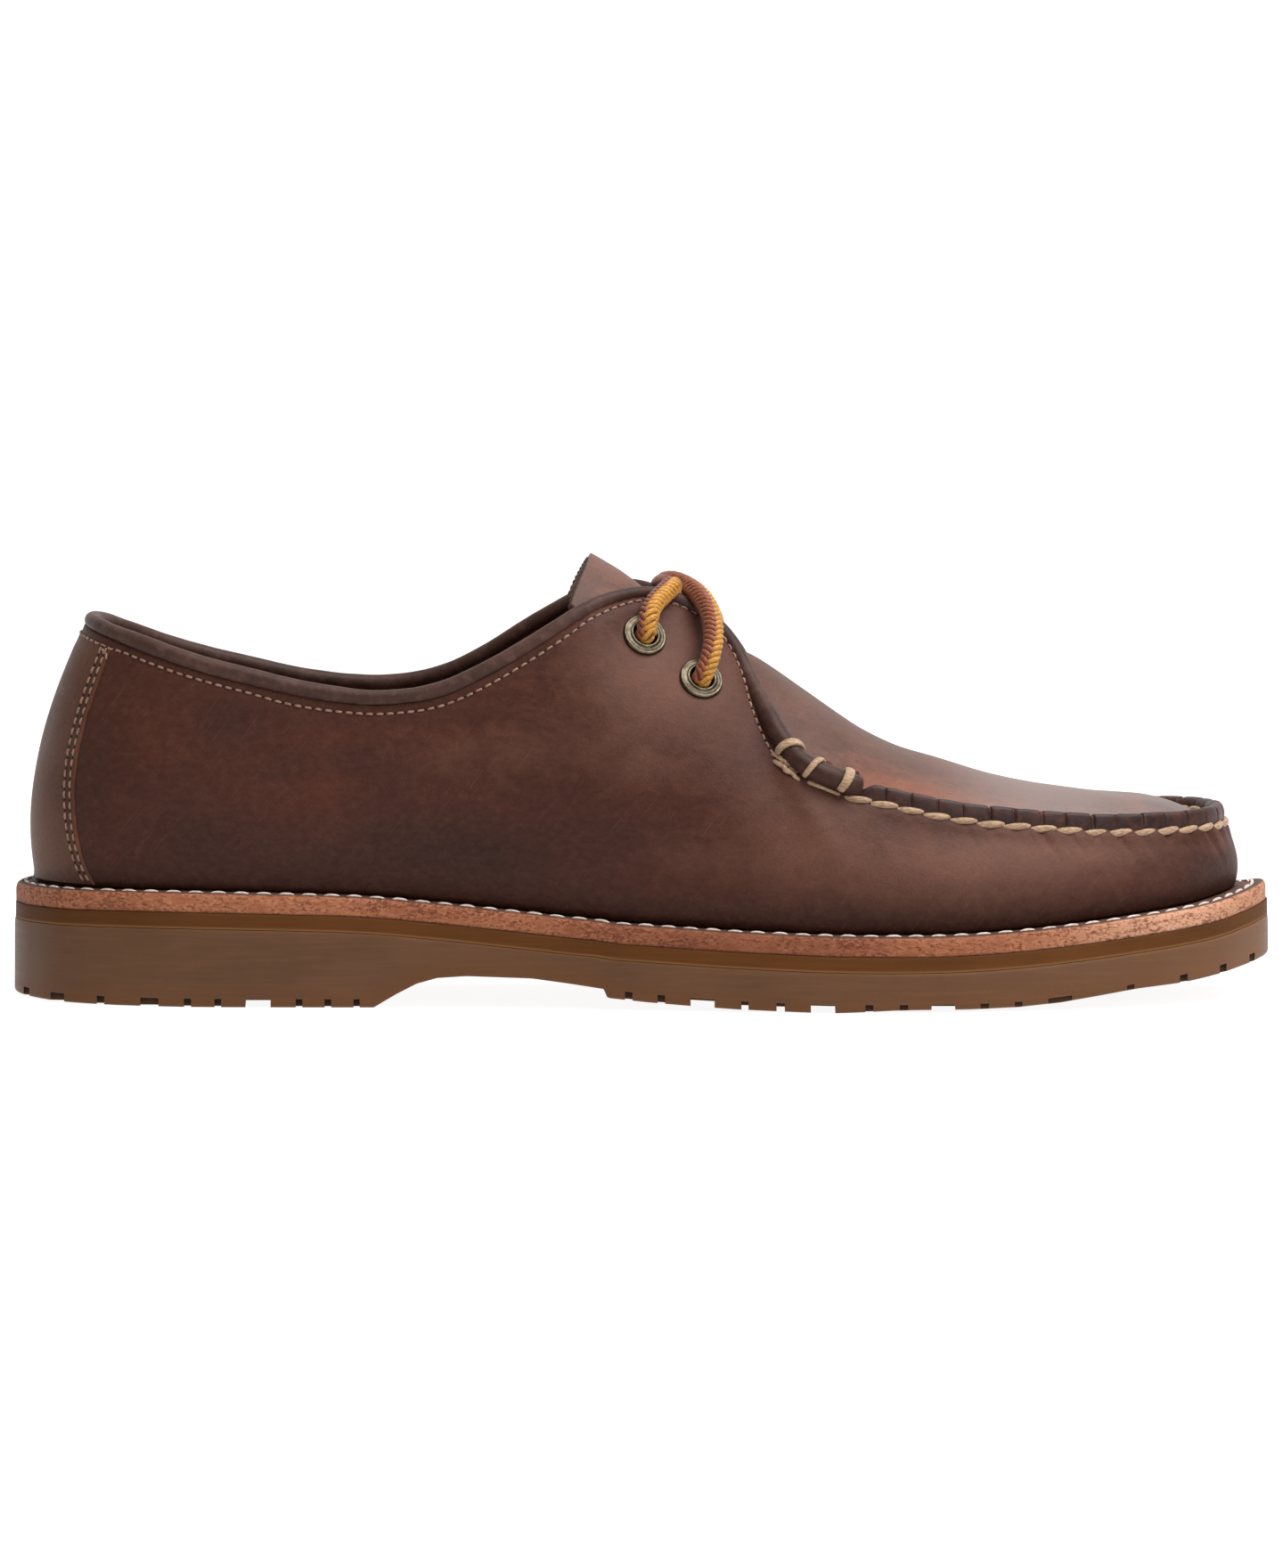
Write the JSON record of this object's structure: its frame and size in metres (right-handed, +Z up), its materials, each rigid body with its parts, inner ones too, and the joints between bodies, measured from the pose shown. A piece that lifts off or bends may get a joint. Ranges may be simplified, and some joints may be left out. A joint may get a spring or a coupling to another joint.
{
  "type": "moccasin-toe oxford shoe",
  "caption": "Low leather lace-up shoe with a raised moccasin seam round the toe, rolled collar edge, hollow upper open at the collar, and a stitched welt over a lugged gum rubber sole.",
  "frame": {"origin": "centre of the outsole's plan, on the ground that the shoe stands on", "axes": "+X towards the toe, +Y towards the inner (medial) side of the right foot, +Z up"},
  "size_m": [0.305, 0.1054, 0.1077],
  "materials": {
    "gum_rubber": "satin translucent brown rubber",
    "midsole_layer": "matt dark brown layer",
    "welt_leather": "tan edge leather, waxed",
    "upper_leather": "oiled pull-up leather, mottled",
    "binding_leather": "smooth dark brown leather",
    "insole_leather": "smooth brown lining leather",
    "brass": "antique brass, dulled",
    "lace_cord": "braided waxed cotton in two browns"
  },
  "bodies": {
    "root": {"outsole": "gum_rubber", "midsole": "midsole_layer", "welt": "welt_leather", "insole": "insole_leather", "upper": "upper_leather", "tongue": "upper_leather", "collar_binding": "binding_leather", "eyelet_lateral_upper": "brass", "eyelet_lateral_lower": "brass", "eyelet_medial_upper": "brass", "eyelet_medial_lower": "brass", "lace_crossing": "lace_cord", "lace_bar": "lace_cord"}
  },
  "joints": []
}
